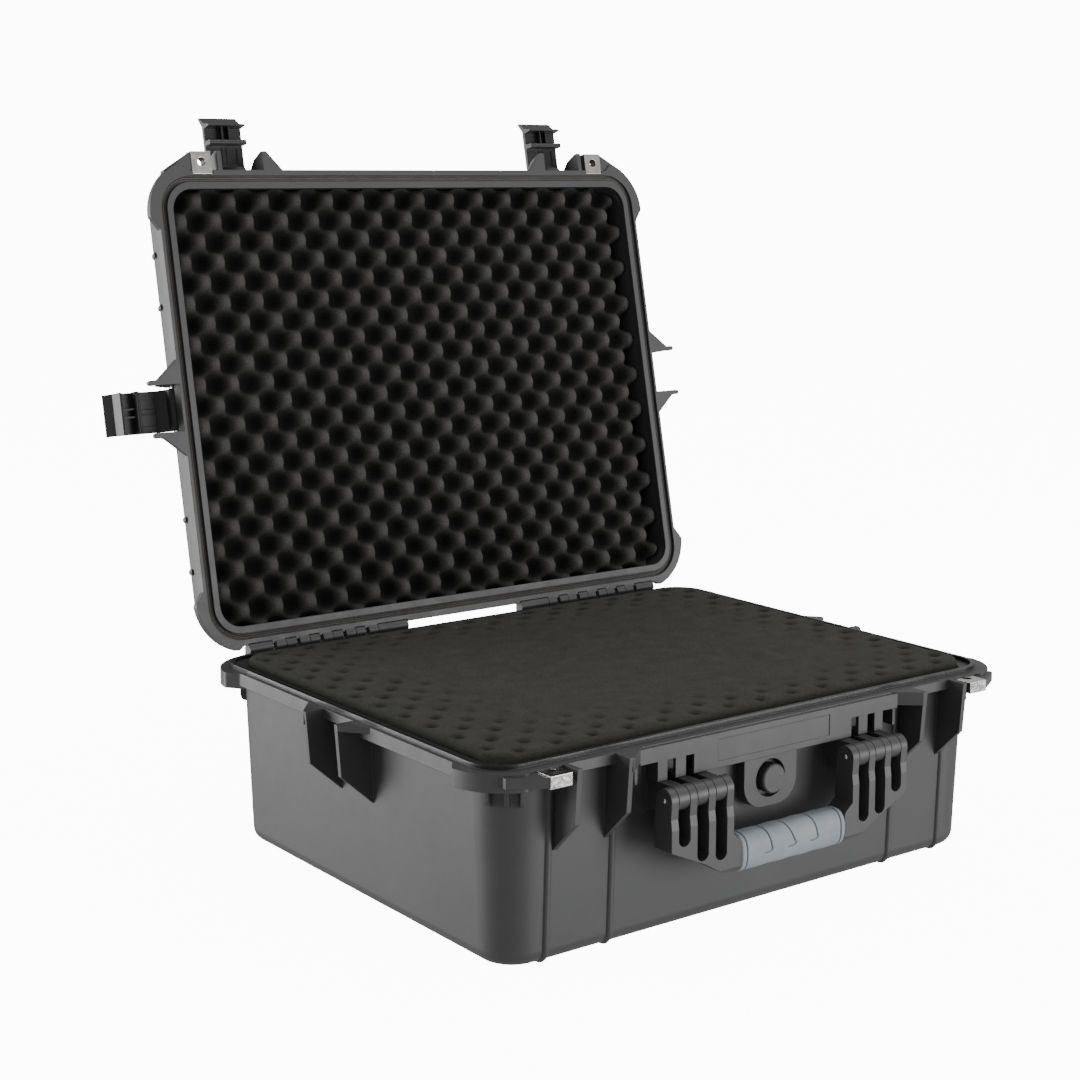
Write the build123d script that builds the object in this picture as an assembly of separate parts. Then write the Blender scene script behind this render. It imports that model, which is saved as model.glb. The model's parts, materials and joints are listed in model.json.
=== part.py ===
from build123d import *
import math
import os

os.makedirs("parts", exist_ok=True)

# Moulded transport case, standing open, with foam in both halves, four latches, a front handle
# and a pressure valve. Millimetres. The origin is the centre of the flat bottom, +X points to the
# right seen from the front, the handle side faces -Y and +Z is up.

# Seal line, the middle of the base's tongue, from which both halves are measured
seal_half_width = 262.0
seal_half_depth = 204.0
seal_corner_r = 28.0
rim_top = 156.0

# Base tub, measured from the seal at the skirt's lower edge
tub_in_side = 8.0
tub_out_depth = 0.3
tub_corner_r = 36.0
tub_draft = 2.2
wall = 3.2
bottom_edge_r = 12.0

# Rims of both halves, measured out from the seal
rim_out_side = 5.5
rim_out_front = 11.5
rim_out_rear = 9.0
lid_rim_out_front = 8.0
rim_corner_r = 44.0
rim_thickness = 5.0
skirt_drop = 11.0
skirt_wall = 3.0
closing_gap = 1.0

# Corner bumpers, measured out from the rim
bumper_out_side = 8.5
bumper_out_front = 6.0
bumper_out_rear = 5.0
bumper_corner_r = 50.0
bumper_drop = 13.5
lid_bumper_drop = 7.0
bumper_run_side = 53.0
bumper_run_end = 31.5
bumper_rise_side = 1.4
bumper_end_r = 5.0
corner_rib_angles = (31.0, 50.0, 62.0)
corner_rib = 2.5
corner_rib_reach = 47.0
corner_rib_drop = 13.0

# Tongue of the base, channel and seal of the lid
tongue_width = 3.6
tongue_height = 3.5
channel_clearance = 1.0
channel_depth = 7.0
channel_wall = 2.5
seal_gap = 0.5

# Lid, sizes in the closed position
lid_height = 55.0
lid_rim_height = 11.0
lid_in_from_rim = 10.0
lid_corner_r = 30.0
lid_edge_r = 13.0
lip_in_side = 8.5
lip_in_depth = 9.0
lip_corner_r = 20.0
lip_height = 6.0

# Hinge along the rear
hinge_behind = 3.0
hinge_above = 4.5
lid_open_angle = 102.0
knuckle_r = 5.5
hinge_pin_r = 2.0
knuckle_pitch = 24.0
knuckle_first = 102.8
knuckle_count = 5
lid_knuckle_width = 10.0
knuckle_gap = 0.4
pin_gap = 3.6
hinge_zone_inner = 65.0
hinge_zone_outer = 230.0
hinge_sweep_clearance = 0.6

# Fits of pins in moulded holes
fixed_fit = 0.02
running_fit = 0.06

# Latch bays: centre along the front and the sides, fins of the base and ears of the lid
bay_x = 180.0
side_bay_y = -2.0
fin_spacing = 48.0
fin_thickness = 4.5
fin_reach = 17.0
fin_reach_low = 13.5
fin_knee_drop = 42.5
fin_foot_drop = 69.0
gusset_run = 20.8
ear_spacing = 46.0
ear_thickness = 4.5
ear_reach = 17.3
ear_rise = 34.0
ear_gusset_run = 15.7
side_ear_reach = 20.0
side_ear_gusset_run = 18.0
prong_reach = 28.5
prong_height = 5.0

# Latch levers, profile sizes from the pivot
latch_width = 37.0
latch_pivot_in = 4.0
latch_pivot_up = 22.0
latch_eye_r = 6.4
latch_pin_r = 2.0
latch_plate_offset = 9.0
latch_plate = 4.0
latch_nose_at = 34.5
latch_nose_reach = 9.5
latch_nose_thickness = 4.4
latch_nose_clearance = 1.2
latch_ridge_r = 1.25
latch_plate_end = 50.5
latch_tip = 59.3
latch_tip_out = 19.0
latch_tab_in = 0.5
latch_recess = 0.8
latch_angle = 90.0
latch_angle_right = 125.0

# Padlock tabs with steel plates
padlock_x = 220.5
padlock_y_out = 4.0
padlock_hole_r = 4.0
padlock_tab_reach = 16.2
padlock_tab_half = 10.0
padlock_tab_thickness = 8.0
padlock_tab_drop = 1.5
padlock_gusset_run = 27.0
padlock_plate = 0.8
padlock_plate_tuck = 3.5

# Beads down the front and across the lid
bead_offset = 30.0
bead_y_inner = 95.5
bead_y_outer = 142.5
bead_r = 3.25
bead_sunk = 0.9
bead_under = 40.0

# Tall skirt panel over the handle
panel_half = 120.0
panel_band_half = 137.0
panel_out = 3.3
panel_drop = 28.5
panel_band_drop = 13.0
panel_rib = 3.0
panel_slot_width = 8.0
panel_slot_height = 15.5
panel_slot_shift = 2.8
name_plate_half = 59.5
name_plate_up = 5.2
name_plate_recess = 0.6

# Handle
handle_pivot_out = 17.5
handle_pivot_below = 10.0
handle_eye_r = 9.2
handle_pin_r = 2.5
arm_inner = 63.5
arm_fin = 7.0
arm_fin_pitch = 18.33
arm_fins = 4
arm_joint_gap = 0.5
arm_front_out = 9.5
arm_back_in = 11.0
arm_web = 3.0
arm_waist = 1.2
arm_outer_rise = 29.0
arm_middle_rise = 14.0
arm_middle_at = 29.0
arm_toe_at = 9.0
arm_toe_rise = 2.0
arm_edge_r = 5.0
grip_half = 55.0
grip_below_pivot = 55.5
grip_in = 2.0
grip_height = 27.5
grip_depth = 24.0
grip_bar_height = 16.0
grip_bar_depth = 12.0
grip_fit = 0.15

# Pressure valve
valve_below_panel = 19.9
valve_boss_half = 28.0
valve_boss_out = 9.7
valve_boss_drop = 42.5
valve_boss_corner = 20.0
valve_pocket_r = 15.5
valve_pocket_out = 1.7
valve_hole_r = 6.2
valve_stem_r = 6.1
valve_head_r = 10.0
valve_head = 2.5
valve_seal_thickness = 1.0
valve_knob_r = 12.0
valve_knob_gap = 0.4
valve_knob_depth = 9.0
valve_spigot_r = 3.0
valve_nut_flats = 20.0
valve_nut_thickness = 4.0

# Foam
foam_gap = 0.4
foam_proud = 8.0
foam_pad_gap = 0.8
foam_pad_corner_r = 20.0
foam_edge_r = 4.5
foam_layers = 3
lid_foam_recess = 8.5
knob_pitch_x = 34.0
knob_pitch_y = 18.4
knob_height = 18.0
knob_shift_x = -21.3
knob_shift_y = 16.1

# Places that follow from the sizes above
tub_side = seal_half_width - tub_in_side
tub_depth = seal_half_depth + tub_out_depth
rim_side = seal_half_width + rim_out_side
rim_front = seal_half_depth + rim_out_front
rim_rear = seal_half_depth + rim_out_rear
lid_rim_front = seal_half_depth + lid_rim_out_front
bumper_side = rim_side + bumper_out_side
bumper_front = rim_front + bumper_out_front
bumper_rear = rim_rear + bumper_out_rear
lid_side = rim_side - lid_in_from_rim
lid_depth = lid_rim_front - lid_in_from_rim
lip_side = seal_half_width - lip_in_side
lip_depth = seal_half_depth - lip_in_depth
lid_rim_z = rim_top + closing_gap
lid_top_z = lid_rim_z + lid_height
hinge_y = rim_rear + hinge_behind
hinge_z = rim_top + hinge_above
skirt_bottom = rim_top - skirt_drop
latch_pivot_z = lid_rim_z + latch_pivot_up
keeper_bottom = latch_pivot_z - latch_nose_at + latch_nose_thickness / 2 + latch_nose_clearance
padlock_y = rim_front + padlock_y_out
panel_front = rim_front + panel_out
panel_bottom = rim_top - panel_drop
handle_pivot_y = rim_front + handle_pivot_out
handle_pivot_z = panel_bottom - handle_pivot_below
arm_outer = arm_inner + (arm_fins - 1) * arm_fin_pitch + arm_fin
grip_y = handle_pivot_y - grip_in
grip_z = handle_pivot_z - grip_below_pivot
arm_foot_z = grip_z - grip_height / 2 + 1.75
valve_z = panel_bottom - valve_below_panel
valve_boss_front = tub_depth + valve_boss_out
valve_boss_bottom = panel_bottom - valve_boss_drop
valve_pocket_floor = tub_depth + valve_pocket_out
base_tab_z = rim_top - padlock_tab_drop - padlock_tab_thickness
lid_tab_z = lid_rim_z + padlock_tab_drop
lid_open = Pos(0, hinge_y, hinge_z) * Rot(-lid_open_angle, 0, 0) * Pos(0, -hinge_y, -hinge_z)


def bay_places(front):
    """Where each latch bay starts on a rim whose front edge is at that depth."""
    return {
        "front_left": Pos(-bay_x, -front, 0),
        "front_right": Pos(bay_x, -front, 0),
        "left": Pos(-rim_side, side_bay_y, 0) * Rot(0, 0, -90),
        "right": Pos(rim_side, side_bay_y, 0) * Rot(0, 0, 90),
    }


base_bays = bay_places(rim_front)
lid_bays = bay_places(lid_rim_front)


def lean(height):
    """How far a drafted wall leans in over a height."""
    return height * math.tan(math.radians(tub_draft))


def slab(side, front, rear, radius, z0, z1):
    """Flat block with rounded corners between two heights."""
    outline = Pos(0, (rear - front) / 2, z0) * RectangleRounded(2 * side, front + rear, radius)
    return extrude(outline, z1 - z0)


def drafted(side, depth, radius, z_full, z_far):
    """Block of full size at z_full whose walls lean in towards z_far."""
    inset = lean(abs(z_full - z_far))
    full = Pos(0, 0, z_full) * RectangleRounded(2 * side, 2 * depth, radius)
    far = Pos(0, 0, z_far) * RectangleRounded(2 * (side - inset), 2 * (depth - inset), radius - inset)
    return loft([far, full])


def block(x0, x1, y0, y1, z0, z1):
    """Box between two corners."""
    return Pos((x0 + x1) / 2, (y0 + y1) / 2, (z0 + z1) / 2) * Box(x1 - x0, y1 - y0, z1 - z0)


def rod_x(radius, x0, x1, y, z):
    """Round bar along X."""
    return Pos((x0 + x1) / 2, y, z) * Rot(0, 90, 0) * Cylinder(radius, x1 - x0)


def rod_y(radius, y0, y1, x, z):
    """Round bar along Y."""
    return Pos(x, (y0 + y1) / 2, z) * Rot(90, 0, 0) * Cylinder(radius, y1 - y0)


def profile_yz(points, x0, x1):
    """Outline of (y, z) points extruded from x0 to x1."""
    line = Polyline(*[(x0, y, z) for y, z in points], close=True)
    return extrude(make_face(line), x1 - x0, dir=(1, 0, 0))


def profile_xz(points, y0, y1):
    """Outline of (x, z) points extruded from y0 to y1."""
    line = Polyline(*[(x, y0, z) for x, z in points], close=True)
    return extrude(make_face(line), y1 - y0, dir=(0, 1, 0))


def profile_xy(points, z0, z1):
    """Outline of (x, y) points extruded from z0 to z1."""
    line = Polyline(*[(x, y, z0) for x, y in points], close=True)
    return extrude(make_face(line), z1 - z0, dir=(0, 0, 1))


def mirrored(solid):
    """The solid and its mirror image across the middle of the case."""
    return solid + mirror(solid, Plane.YZ)


def raised(sketch, z0, z1):
    """Sketch extruded between two heights."""
    return extrude(Pos(0, 0, min(z0, z1)) * sketch, abs(z1 - z0))


def corner_zones(front):
    """The four corner areas that the bumpers fill, with sloping ends."""
    zones = Sketch()
    start_x = rim_side - bumper_run_end
    far = rim_side + 20
    for sign, edge in ((-1, front), (1, rim_rear)):
        start_y = edge - bumper_run_side
        points = [
            (rim_side - 10, start_y - 10 * bumper_rise_side),
            (far, start_y + 20 * bumper_rise_side),
            (far, edge + 20),
            (start_x + 20, edge + 20),
            (start_x - 10, edge - 10),
        ]
        for hand in (-1, 1):
            zones += make_face(Polyline(*[(hand * x, sign * y) for x, y in points], close=True))
    return zones


def rim_rectangle(front):
    """Plain outline of a rim."""
    return Pos(0, (rim_rear - front) / 2) * RectangleRounded(2 * rim_side, front + rim_rear, rim_corner_r)


def rim_outline(front):
    """Outline of a rim with its corner bumpers, whose ends run out in soft curves."""
    band = Pos(0, (bumper_rear - bumper_front) / 2) * RectangleRounded(
        2 * bumper_side, bumper_front + bumper_rear, bumper_corner_r
    )
    outline = rim_rectangle(front) + (band & corner_zones(front))
    hollows_rounded = offset(offset(outline, bumper_end_r), -bumper_end_r)
    return offset(offset(hollows_rounded, -bumper_end_r), bumper_end_r)


def base_rim():
    """Rim plate of the base, its skirt and the deeper skirt of the bumpers."""
    outline = rim_outline(rim_front)
    band = outline - offset(outline, -skirt_wall)
    plate = raised(outline, rim_top - rim_thickness, rim_top)
    skirt = raised(band, skirt_bottom, rim_top - rim_thickness)
    return plate + skirt + raised(band & corner_zones(rim_front), rim_top - bumper_drop, skirt_bottom)


def lid_rim():
    """Rim plate of the lid with the shallow bumpers and the plain skirt above."""
    outline = rim_outline(lid_rim_front)
    band = outline - offset(outline, -skirt_wall)
    plain = rim_rectangle(lid_rim_front)
    plate = raised(outline, lid_rim_z, lid_rim_z + rim_thickness)
    bumper = raised(band, lid_rim_z + rim_thickness, lid_rim_z + lid_bumper_drop)
    skirt = raised(plain - offset(plain, -skirt_wall), lid_rim_z + rim_thickness, lid_rim_z + lid_rim_height)
    return plate + bumper + skirt


def corner_ribs():
    """Three small ribs under each bumper."""
    root = tub_corner_r - 2
    rib = profile_yz(
        [
            (-root, rim_top - rim_thickness),
            (-corner_rib_reach, rim_top - rim_thickness),
            (-corner_rib_reach, skirt_bottom),
            (-root, skirt_bottom - corner_rib_drop),
        ],
        -corner_rib / 2,
        corner_rib / 2,
    )
    result = None
    for angle in corner_rib_angles:
        for sign, turn in ((-1, 90 - angle), (1, 90 + angle)):
            place = Pos(tub_side - tub_corner_r, sign * (tub_depth - tub_corner_r), 0)
            piece = place * Rot(0, 0, turn) * rib
            result = piece if result is None else result + piece
    return mirrored(result)


def seal_ring(width, z0, z1):
    """Ring of that width along the seal line."""
    side, depth = seal_half_width, seal_half_depth
    half = width / 2
    outer = slab(side + half, depth + half, depth + half, seal_corner_r + half, z0, z1)
    return outer - slab(side - half, depth - half, depth - half, seal_corner_r - half, z0, z1)


def lid_knuckle_spans():
    """X spans of the lid's knuckles on the right half."""
    centres = [knuckle_first + knuckle_pitch * i for i in range(knuckle_count)]
    return [(c - lid_knuckle_width / 2, c + lid_knuckle_width / 2) for c in centres]


def base_knuckle_spans():
    """X spans of the base's knuckles on the right half: two long ends and one between each pair."""
    spans = lid_knuckle_spans()
    result = [(hinge_zone_inner, spans[0][0] - knuckle_gap)]
    for left, right in zip(spans, spans[1:]):
        result.append((left[1] + pin_gap, right[0] - knuckle_gap))
    result.append((spans[-1][1] + pin_gap, hinge_zone_outer))
    return result


def knuckle_notches(spans):
    """Room that the other half's knuckles need to turn."""
    cut = None
    for x0, x1 in spans:
        rod = rod_x(knuckle_r + hinge_sweep_clearance, x0 - knuckle_gap, x1 + knuckle_gap, hinge_y, hinge_z)
        cut = rod if cut is None else cut + rod
    return mirrored(cut)


def base_knuckles():
    """Barrels on webs that rise from the rim's rear edge."""
    result = None
    for x0, x1 in base_knuckle_spans():
        web = block(x0, x1, rim_rear - skirt_wall, rim_rear + 0.4, skirt_bottom, rim_top)
        web += profile_yz(
            [
                (rim_rear - skirt_wall, skirt_bottom + 3),
                (rim_rear + 0.4, skirt_bottom),
                (hinge_y + knuckle_r, hinge_z - knuckle_r),
                (hinge_y + knuckle_r, hinge_z),
                (rim_rear + 0.4, hinge_z),
                (rim_rear + 0.4, rim_top),
                (rim_rear - skirt_wall, rim_top),
            ],
            x0,
            x1,
        )
        web += rod_x(knuckle_r, x0, x1, hinge_y, hinge_z)
        result = web if result is None else result + web
    hole = rod_x(hinge_pin_r + fixed_fit, hinge_pin_start(), hinge_pin_end(), hinge_y, hinge_z)
    return mirrored(result - hole)


def lid_knuckles():
    """Barrels on webs that run down from the lid's rear skirt, in the closed position."""
    result = None
    for x0, x1 in lid_knuckle_spans():
        web = profile_yz(
            [
                (rim_rear - skirt_wall, lid_rim_z + 1),
                (hinge_y, lid_rim_z + 1),
                (hinge_y + knuckle_r, hinge_z),
                (hinge_y + knuckle_r * 0.7, hinge_z + knuckle_r * 0.75),
                (rim_rear - skirt_wall, lid_rim_z + lid_rim_height),
            ],
            x0,
            x1,
        )
        web += rod_x(knuckle_r, x0, x1, hinge_y, hinge_z)
        result = web if result is None else result + web
    hole = rod_x(hinge_pin_r + running_fit, knuckle_first - 20, hinge_zone_outer, hinge_y, hinge_z)
    return mirrored(result - hole)


def hinge_pin_start():
    """Inner end of a hinge pin, blind in the base's long inner knuckle."""
    return knuckle_first - lid_knuckle_width / 2 - 12


def hinge_pin_end():
    """Outer end of a hinge pin, short of the base's outer knuckle end."""
    return hinge_zone_outer - 10


def fins():
    """Pairs of thin plates that guard each latch on the base."""
    result = None
    for name, place in base_bays.items():
        front = name.startswith("front")
        root = (rim_out_front - tub_out_depth if front else rim_out_side + tub_in_side) + 1.5
        foot_root = root + lean(fin_foot_drop - skirt_drop)
        pair = None
        for side in (-1, 1):
            centre = side * fin_spacing / 2
            fin = profile_yz(
                [
                    (root, rim_top),
                    (-fin_reach, rim_top),
                    (-fin_reach_low, rim_top - fin_knee_drop),
                    (foot_root, rim_top - fin_foot_drop - 1.0),
                ],
                centre - fin_thickness / 2,
                centre + fin_thickness / 2,
            )
            pair = fin if pair is None else pair + fin
        placed = place * pair
        result = placed if result is None else result + placed
    return result


def fin_gussets():
    """Sloping webs from the fins back to the rim, outside each bay, beside which no padlock tab sits."""
    sides = {
        "front_left": ((1, skirt_drop),),
        "front_right": ((-1, skirt_drop),),
        "left": ((1, rim_thickness), (-1, skirt_drop)),
        "right": ((-1, rim_thickness), (1, skirt_drop)),
    }
    face = (fin_spacing + fin_thickness) / 2
    slope = fin_reach / gusset_run
    depth = fin_reach - skirt_wall * math.hypot(1, slope)
    result = None
    for name, place in base_bays.items():
        for side, drop in sides[name]:
            outline = [
                (side * (face - 1), 1),
                (side * (face - 1), -fin_reach),
                (side * face, -fin_reach),
                (side * (face + gusset_run), 0),
                (side * (face + gusset_run), 1),
            ]
            web = profile_xy(outline, rim_top - drop, rim_top)
            if drop > rim_thickness:
                hollow = [(side * face, -depth), (side * (face + depth / slope), 0), (side * face, 0)]
                web -= profile_xy(hollow, rim_top - drop - 1, rim_top - rim_thickness)
            placed = place * web
            result = placed if result is None else result + placed
    return result


def keeper_reliefs():
    """The skirt is shorter between the fins, where the latch nose hooks under it."""
    result = None
    half = (fin_spacing - fin_thickness) / 2
    for place in base_bays.values():
        cut = place * block(-half, half, -0.5, skirt_wall + 0.5, skirt_bottom - 1, keeper_bottom)
        result = cut if result is None else result + cut
    return result


def padlock_tab(front, z0):
    """Horizontal tab beside an outer fin, right side, without its hole."""
    inner = padlock_x - padlock_tab_half
    outer = padlock_x + padlock_tab_half
    tip = front + padlock_tab_reach
    return profile_xy(
        [
            (inner, -front + 4),
            (inner, -tip),
            (outer, -tip),
            (outer + padlock_gusset_run, -front),
            (outer + padlock_gusset_run, -front + 4),
        ],
        z0,
        z0 + padlock_tab_thickness,
    )


def padlock_hole(z0):
    """Vertical hole for a shackle, right side."""
    height = padlock_tab_thickness + 4
    return Pos(padlock_x, -padlock_y, z0 + padlock_tab_thickness / 2) * Cylinder(padlock_hole_r, height)


def padlock_steel(front, z0, tuck=0.0):
    """U-shaped steel plate folded over the front of a tab, right side, its lower leg tucked into the rim."""
    t = padlock_plate
    half = padlock_tab_half - 0.2
    tip = -front - padlock_tab_reach
    back = -front - 0.3
    top = z0 + padlock_tab_thickness
    plate = block(padlock_x - half, padlock_x + half, tip - t, back, z0 - t, top + t)
    plate -= block(padlock_x - half, padlock_x + half, tip, back, z0, top)
    if tuck:
        plate += block(padlock_x - half, padlock_x + half, back, -front + tuck, z0 - t, z0)
    return plate - padlock_hole(z0)


def plate_seat():
    """Recess in the lid's rim for the tucked leg, right side."""
    front = -lid_rim_front
    return block(
        padlock_x - padlock_tab_half,
        padlock_x + padlock_tab_half,
        front - 0.5,
        front + padlock_plate_tuck + 0.2,
        lid_rim_z - 1,
        lid_tab_z,
    )


def front_beads():
    """Half-round beads down the front wall, in line with the latch bays, that fade into the bottom."""
    low = skirt_bottom
    y_top = -tub_depth + bead_sunk
    y_low = -(tub_depth - lean(low)) + bead_sunk
    result = None
    for centre in (-bay_x, bay_x):
        for side in (-1, 1):
            x = centre + side * bead_offset
            path = FilletPolyline((x, y_top, low), (x, y_low, bead_sunk), (x, y_low + bead_under, bead_sunk), radius=bottom_edge_r)
            section = Plane(origin=path @ 0, z_dir=path % 0) * Circle(bead_r)
            bead = sweep(section, path)
            result = bead if result is None else result + bead
    return result - block(-rim_side, rim_side, -rim_front, 0, -2 * bead_r, 0)


def front_panel():
    """Tall skirt over the handle with its side ribs and the plain name plate."""
    back = -tub_depth + 1
    under = rim_top - rim_thickness
    panel = block(-panel_half, panel_half, -panel_front, back, panel_bottom, rim_top - 1)
    band_bottom = rim_top - panel_band_drop
    panel += block(-panel_band_half, panel_band_half, -panel_front, -rim_front + skirt_wall, band_bottom, rim_top - 1)
    inside = panel_half - skirt_wall
    panel -= block(-inside, inside, -panel_front + skirt_wall, back - 2, panel_bottom + skirt_wall, under)
    rib = block(panel_band_half - 1, panel_band_half - 1 + panel_rib, -rim_front + 1, back, panel_bottom, under)
    panel += mirrored(rib)
    edge_z = panel_bottom + name_plate_up
    recess = -panel_front + name_plate_recess
    return panel - block(-name_plate_half, name_plate_half, -panel_front - 1, recess, edge_z, under - 1)


def panel_slots():
    """Slots in line with the handle's inner fins."""
    result = None
    for i in (1, 2):
        x = arm_inner + arm_fin / 2 + i * arm_fin_pitch + panel_slot_shift
        half = panel_slot_width / 2
        top = panel_bottom + panel_slot_height
        cut = block(x - half, x + half, -panel_front - 1, -tub_depth - 2, panel_bottom - 1, top)
        result = cut if result is None else result + cut
    return mirrored(result)


def handle_bosses():
    """Knuckles that carry the handle, three on each side, on webs from the front wall."""
    result = None
    for i in range(arm_fins - 1):
        x0 = arm_inner + arm_fin + i * arm_fin_pitch + arm_joint_gap
        x1 = arm_inner + (i + 1) * arm_fin_pitch - arm_joint_gap
        boss = rod_x(handle_eye_r, x0, x1, -handle_pivot_y, handle_pivot_z)
        low = handle_pivot_z - handle_eye_r - 7
        boss += profile_yz(
            [
                (-handle_pivot_y, handle_pivot_z + handle_eye_r),
                (-tub_depth + 1, handle_pivot_z + handle_eye_r + 0.8),
                (-tub_depth + lean(skirt_bottom - low) + 1.5, low),
                (-handle_pivot_y, handle_pivot_z - handle_eye_r),
            ],
            x0,
            x1,
        )
        result = boss if result is None else result + boss
    hole = rod_x(handle_pin_r + fixed_fit, arm_inner, arm_outer + 1, -handle_pivot_y, handle_pivot_z)
    return mirrored(result - hole)


def valve_boss():
    """D-shaped boss under the panel with a round pocket for the valve knob."""
    half = valve_boss_half
    outline = RectangleRounded(2 * half, 2 * (panel_bottom - valve_boss_bottom), valve_boss_corner)
    face = Plane(origin=(0, -tub_depth + 4, panel_bottom), x_dir=(1, 0, 0), z_dir=(0, -1, 0)) * outline
    boss = extrude(face, valve_boss_front - tub_depth + 4)
    boss &= block(-half, half, -valve_boss_front, 0, valve_boss_bottom - 1, panel_bottom + 1)
    return boss


def base_shell():
    """Tub with everything moulded onto it."""
    tub = drafted(tub_side, tub_depth, tub_corner_r, skirt_bottom, 0)
    tub = fillet(tub.edges().group_by(Axis.Z)[0], bottom_edge_r)
    neck = slab(tub_side, tub_depth, tub_depth, tub_corner_r, skirt_bottom, rim_top)
    body = tub + neck
    body += base_rim()
    body += corner_ribs()
    body += seal_ring(tongue_width, rim_top - 1, rim_top + tongue_height)
    body += fins()
    body += fin_gussets()
    body += front_beads()
    body += front_panel()
    body += valve_boss()
    body += handle_bosses()
    body += mirrored(padlock_tab(rim_front, base_tab_z))
    body += base_knuckles()
    body -= panel_slots()
    body -= keeper_reliefs()
    body -= knuckle_notches(lid_knuckle_spans())
    body -= mirrored(padlock_hole(base_tab_z))
    body -= rod_y(valve_pocket_r, -valve_boss_front - 1, -valve_pocket_floor, 0, valve_z)
    cavity_floor = drafted(tub_side - wall, tub_depth - wall, tub_corner_r - wall, skirt_bottom, wall)
    cavity_floor = fillet(cavity_floor.edges().group_by(Axis.Z)[0], bottom_edge_r - wall)
    body -= cavity_floor
    body -= slab(tub_side - wall, tub_depth - wall, tub_depth - wall, tub_corner_r - wall, skirt_bottom, rim_top + 1)
    body -= rod_y(valve_hole_r, -valve_boss_front, -tub_depth + 3 * wall, 0, valve_z)
    return body


def base_foam():
    """Three foam layers that fill the tub, the top one with a raised pad."""
    floor = wall + foam_gap
    layer = (rim_top - floor) / foam_layers
    inset = wall + foam_gap
    side, depth, radius = tub_side - inset, tub_depth - inset, tub_corner_r - inset
    pad_z = rim_top + foam_gap
    pad_top = rim_top + foam_proud
    fill = drafted(side, depth, radius, skirt_bottom, floor)
    fill += slab(side, depth, depth, radius, skirt_bottom, pad_z + 1)
    pad_depth = lip_depth - foam_pad_gap
    pad = slab(side, pad_depth, pad_depth, foam_pad_corner_r, pad_z, pad_top)
    pad = fillet(pad.edges().group_by(Axis.Z)[-1], foam_edge_r)
    fill += pad
    fill -= slab(side + 20, depth + 20, depth + 20, radius, pad_z, pad_top) - slab(
        side, pad_depth, pad_depth, foam_pad_corner_r, pad_z, pad_top
    )
    nut_room = rod_y(valve_nut_flats / 2 + 4, -tub_depth, -tub_depth + wall + valve_nut_thickness + 6, 0, valve_z)
    fill -= nut_room
    fill -= tub_edge_cut(floor, floor + bottom_edge_r)
    layers = {}
    names = ("base_foam_bottom", "base_foam_middle", "base_foam_top")
    for i, name in enumerate(names):
        z0 = floor + i * layer + (foam_gap / 2 if i else 0)
        z1 = floor + (i + 1) * layer - foam_gap / 2 if i < foam_layers - 1 else pad_top + 1
        layers[name] = fill & block(-rim_side, rim_side, -rim_front, rim_rear, z0, z1)
    return layers


def tub_edge_cut(z0, z1):
    """What is cut from the foam's lowest edge to clear the tub's rounded bottom."""
    inset = wall + foam_gap + lean(skirt_bottom)
    side, depth = tub_side - inset, tub_depth - inset
    radius = tub_corner_r - inset
    small = bottom_edge_r - wall
    outer = slab(side + 20, depth + 20, depth + 20, radius, z0 - 1, z1)
    low = Pos(0, 0, z0 - 1) * RectangleRounded(2 * (side - small), 2 * (depth - small), radius - small)
    high = Pos(0, 0, z1) * RectangleRounded(2 * (side + 2), 2 * (depth + 2), radius)
    return outer - loft([low, high])


def lid_shell():
    """Lid in the closed position with everything moulded onto it."""
    dome = drafted(lid_side, lid_depth, lid_corner_r, lid_rim_z, lid_top_z)
    dome = fillet(dome.edges().group_by(Axis.Z)[-1], lid_edge_r)
    channel = tongue_width + 2 * channel_clearance
    body = dome + lid_rim()
    body += seal_ring(channel + 2 * channel_wall, lid_rim_z, lid_rim_z + channel_depth + 3)
    body += lid_ears()
    body += lid_beads()
    body += mirrored(padlock_tab(lid_rim_front, lid_tab_z))
    body -= knuckle_notches(base_knuckle_spans())
    body += lid_knuckles()
    body -= mirrored(padlock_hole(lid_tab_z))
    body -= mirrored(plate_seat())
    body -= seal_ring(channel, lid_rim_z - 1, lid_rim_z + channel_depth)
    body -= slab(lip_side, lip_depth, lip_depth, lip_corner_r, lid_rim_z - 1, lid_rim_z + lip_height)
    inset = wall + lean(lid_rim_height)
    cavity = drafted(lid_side - inset, lid_depth - inset, lid_corner_r - wall, lid_rim_z + lip_height, lid_top_z - wall)
    cavity = fillet(cavity.edges().group_by(Axis.Z)[-1], lid_edge_r - wall)
    body -= cavity
    return body


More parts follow.
